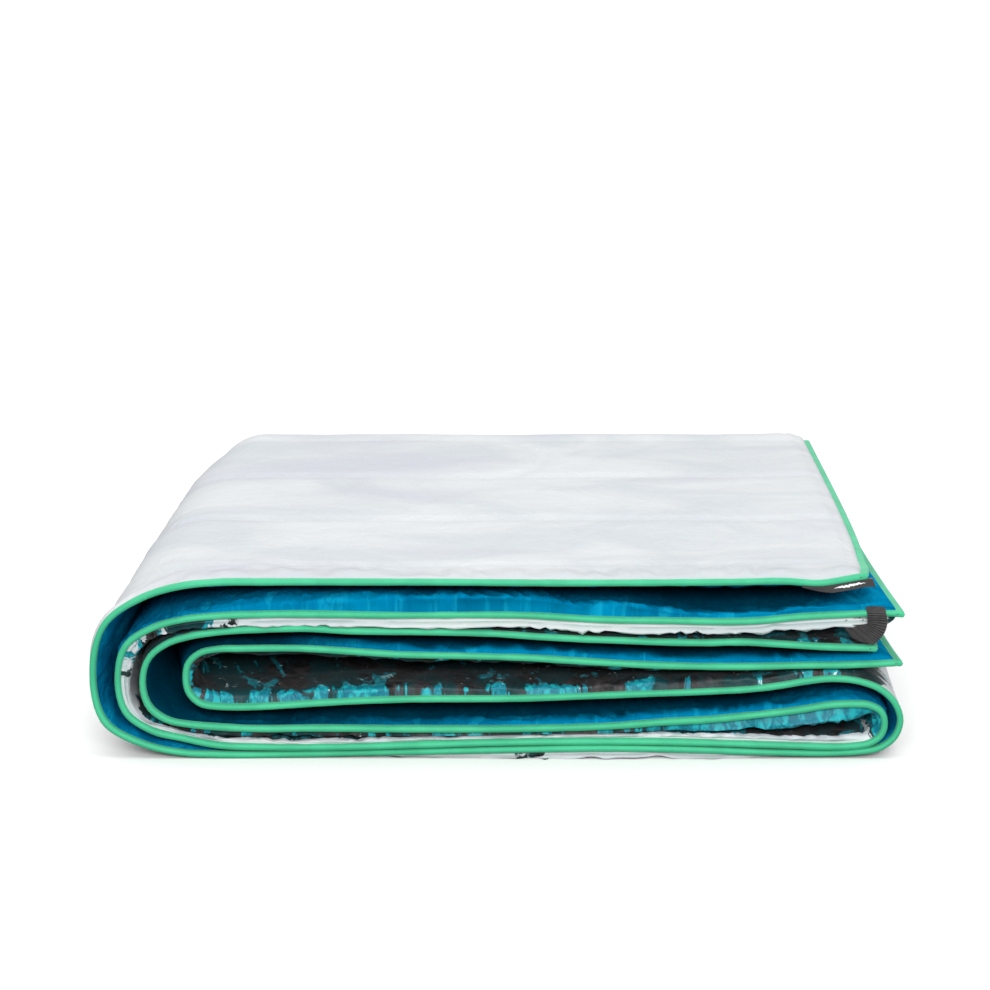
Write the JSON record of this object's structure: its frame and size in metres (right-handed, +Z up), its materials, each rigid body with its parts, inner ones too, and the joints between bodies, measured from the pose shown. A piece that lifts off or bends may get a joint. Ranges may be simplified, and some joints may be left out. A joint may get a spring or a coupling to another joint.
{
  "type": "folded camp blanket",
  "caption": "Quilted insulated camp blanket folded into a flat rectangular stack, with a bound edge, a corner webbing loop and a small side label.",
  "frame": {"origin": "centre of the folded stack's bounding box, at its underside", "axes": "+Z up through the stack, +Y from the front edges to the back fold, +X from the four-ply fold to the free ends"},
  "size_m": [0.4866, 0.6724, 0.1077],
  "materials": {
    "shell_print": "printed ripstop taffeta",
    "lining_blue": "glossy taffeta",
    "insulation_white": "synthetic fill",
    "binding_green": "folded woven tape",
    "webbing_black": "ribbed grosgrain",
    "label_charcoal": "woven damask"
  },
  "bodies": {
    "folded_base": {"binding_a_cover_bend": "binding_green", "binding_a_folded_run": "binding_green", "binding_a_inner_bend": "binding_green", "binding_b_cover_bend": "binding_green", "binding_b_folded_run": "binding_green", "binding_b_inner_bend": "binding_green", "insulation_cover_bend": "insulation_white", "insulation_folded_run": "insulation_white", "insulation_inner_bend": "insulation_white", "lining_cover_bend": "lining_blue", "lining_folded_run": "lining_blue", "lining_inner_bend": "lining_blue", "shell_base": "shell_print", "shell_cover_bend": "shell_print", "shell_inner_bend": "shell_print", "shell_inner_fold": "shell_print", "shell_middle": "shell_print", "shell_outer_fold": "shell_print", "shell_right_fold": "shell_print"},
    "upper_half": {"shell_cover": "shell_print", "shell_inner": "shell_print", "insulation_cover": "insulation_white", "insulation_inner": "insulation_white", "lining_cover": "lining_blue", "lining_inner": "lining_blue", "binding_a_cover": "binding_green", "binding_b_cover": "binding_green", "binding_a_inner": "binding_green", "binding_b_inner": "binding_green", "binding_end_cover": "binding_green", "binding_end_inner": "binding_green", "corner_loop_wrap": "webbing_black", "corner_loop_bartacks": "webbing_black", "label_seam": "label_charcoal"},
    "corner_loop": {"corner_loop": "webbing_black"},
    "label_flap": {"label_flap": "label_charcoal"}
  },
  "joints": [
    {"name": "upper_half_lift", "type": "hinge", "parent": "folded_base", "child": "upper_half", "pos_m": [-0.14447, 0, 0.05385], "axis": [0, -1, 0], "range_deg": [0, 80], "deforming": ["binding_a_cover_bend", "binding_a_inner_bend", "binding_b_cover_bend", "binding_b_inner_bend", "insulation_cover_bend", "insulation_inner_bend", "lining_cover_bend", "lining_inner_bend", "shell_cover_bend", "shell_inner_bend"]},
    {"name": "corner_loop_swing", "type": "hinge", "parent": "upper_half", "child": "corner_loop", "pos_m": [0.22442, -0.33202, 0.0876], "axis": [-1, 0, 0], "range_deg": [0, 90]},
    {"name": "label_flap_swing", "type": "hinge", "parent": "upper_half", "child": "label_flap", "pos_m": [0.19967, -0.32492, 0.0974], "axis": [-1, 0, 0], "range_deg": [0, 75]}
  ]
}
